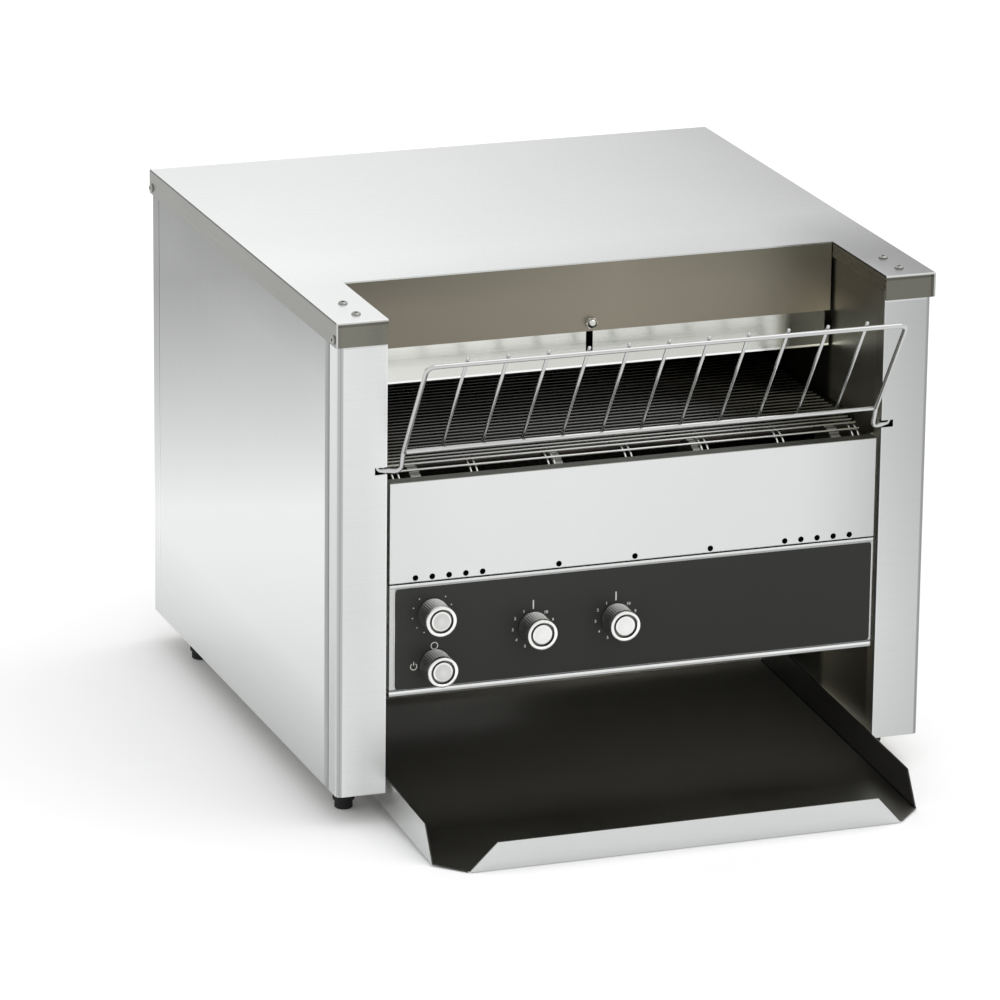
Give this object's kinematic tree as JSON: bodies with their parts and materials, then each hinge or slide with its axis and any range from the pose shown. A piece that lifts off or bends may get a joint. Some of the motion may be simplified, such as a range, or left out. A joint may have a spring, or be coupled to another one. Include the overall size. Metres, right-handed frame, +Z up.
{
  "type": "conveyor toaster",
  "caption": "Counter conveyor toaster in brushed steel with a wire feed rack, a belt between heaters, a panel of knobs and a sloping toast tray below.",
  "frame": {"origin": "centre of the whole object's footprint, on the counter", "axes": "+X to the right as seen from the front, +Y towards the back, +Z up"},
  "size_m": [0.4832, 0.6128, 0.3986],
  "materials": {
    "brushed_case": "brushed",
    "plain_steel": "satin",
    "warmed_steel": "satin",
    "mirror_steel": "polished",
    "wire_chrome": "polished",
    "belt_wire": "satin",
    "shaft_steel": "ground",
    "wheel_steel": "satin",
    "screw_steel": "zinc plated",
    "bush_bronze": "satin",
    "heater_sheath": "dark oxide",
    "ceramic_white": "glazed",
    "overlay_charcoal": "fine satin",
    "knob_grey": "dark satin",
    "knob_silver": "turned",
    "control_black": "moulded",
    "motor_grey": "satin",
    "foot_rubber": "moulded"
  },
  "bodies": {
    "case": {"top_cover": "brushed_case", "left_front_pillar": "brushed_case", "right_front_pillar": "brushed_case", "left_side_panel": "brushed_case", "right_side_panel": "brushed_case", "left_inner_wall": "warmed_steel", "right_inner_wall": "warmed_steel", "base_pan": "plain_steel", "rear_panel": "brushed_case", "rubber_feet": "foot_rubber", "foot_screws": "screw_steel", "panel_screws": "screw_steel", "cord_gland": "control_black", "terminal_block": "ceramic_white", "front_panel": "brushed_case", "control_frame": "brushed_case", "control_overlay": "overlay_charcoal", "control_box": "plain_steel", "power_switch": "control_black", "speed_control": "control_black", "heat_controls": "control_black", "throat_back_plate": "warmed_steel", "gate_dome_nut": "wire_chrome", "upper_heaters": "heater_sheath", "lower_heaters": "heater_sheath", "heater_insulators": "ceramic_white", "upper_reflector": "mirror_steel", "lower_reflector": "mirror_steel", "return_ramp": "mirror_steel", "rear_deflector": "mirror_steel", "conveyor_belt": "belt_wire", "belt_rails": "plain_steel", "shaft_bushes": "bush_bronze", "drive_chain": "wheel_steel", "gear_motor": "motor_grey", "fan_frame": "control_black"},
    "gate": {"gate_plate": "mirror_steel"},
    "rack": {"feed_rack": "wire_chrome"},
    "tray": {"toast_tray": "mirror_steel"},
    "rear_drive": {"rear_belt_shaft": "shaft_steel", "rear_belt_wheels": "wheel_steel", "drive_sprocket": "wheel_steel"},
    "front_idler": {"front_belt_shaft": "shaft_steel", "front_belt_wheels": "wheel_steel"},
    "motor_output": {"motor_shaft": "shaft_steel", "motor_sprocket": "wheel_steel"},
    "fan_wheel": {"fan_rotor": "control_black"},
    "power_dial": {"power_spindle": "shaft_steel", "power_knob": "knob_grey", "power_knob_cap": "knob_silver"},
    "speed_dial": {"speed_spindle": "shaft_steel", "speed_knob": "knob_grey", "speed_knob_cap": "knob_silver"},
    "top_heat_dial": {"top_heat_spindle": "shaft_steel", "top_heat_knob": "knob_grey", "top_heat_knob_cap": "knob_silver"},
    "bottom_heat_dial": {"bottom_heat_spindle": "shaft_steel", "bottom_heat_knob": "knob_grey", "bottom_heat_knob_cap": "knob_silver"}
  },
  "joints": [
    {"name": "power_turn", "type": "hinge", "parent": "case", "child": "power_dial", "pos_m": [-0.1608, -0.1814, 0.1236], "axis": [0, 1, 0], "range_deg": [0, 90]},
    {"name": "speed_turn", "type": "hinge", "parent": "case", "child": "speed_dial", "pos_m": [-0.1624, -0.1814, 0.1639], "axis": [0, 1, 0], "range_deg": [-135, 135]},
    {"name": "top_heat_turn", "type": "hinge", "parent": "case", "child": "top_heat_dial", "pos_m": [-0.0817, -0.1814, 0.1452], "axis": [0, 1, 0], "range_deg": [-135, 135]},
    {"name": "bottom_heat_turn", "type": "hinge", "parent": "case", "child": "bottom_heat_dial", "pos_m": [-0.015, -0.1814, 0.1452], "axis": [0, 1, 0], "range_deg": [-135, 135]},
    {"name": "gate_slide", "type": "slide", "parent": "case", "child": "gate", "axis": [0, 0, 1], "range_m": [0, 0.021]},
    {"name": "rack_tilt", "type": "hinge", "parent": "case", "child": "rack", "pos_m": [0, -0.1813, 0.2795], "axis": [-1, 0, 0], "range_deg": [0, 30]},
    {"name": "tray_slide", "type": "slide", "parent": "case", "child": "tray", "axis": [0, -1, 0], "range_m": [0, 0.25]},
    {"name": "rear_drive_spin", "type": "hinge", "parent": "case", "child": "rear_drive", "pos_m": [0, 0.2156, 0.25], "axis": [-1, 0, 0], "continuous": true},
    {"name": "front_idler_spin", "type": "hinge", "parent": "case", "child": "front_idler", "pos_m": [0, -0.1504, 0.25], "axis": [-1, 0, 0], "continuous": true},
    {"name": "motor_output_spin", "type": "hinge", "parent": "case", "child": "motor_output", "pos_m": [0, 0.1806, 0.073], "axis": [-1, 0, 0], "continuous": true},
    {"name": "fan_spin", "type": "hinge", "parent": "case", "child": "fan_wheel", "pos_m": [0.0908, 0, 0.073], "axis": [0, 1, 0], "continuous": true}
  ],
  "couplings": [
    {"joint": "front_idler_spin", "follows": "rear_drive_spin", "ratio": 1},
    {"joint": "motor_output_spin", "follows": "rear_drive_spin", "ratio": 1.5}
  ]
}
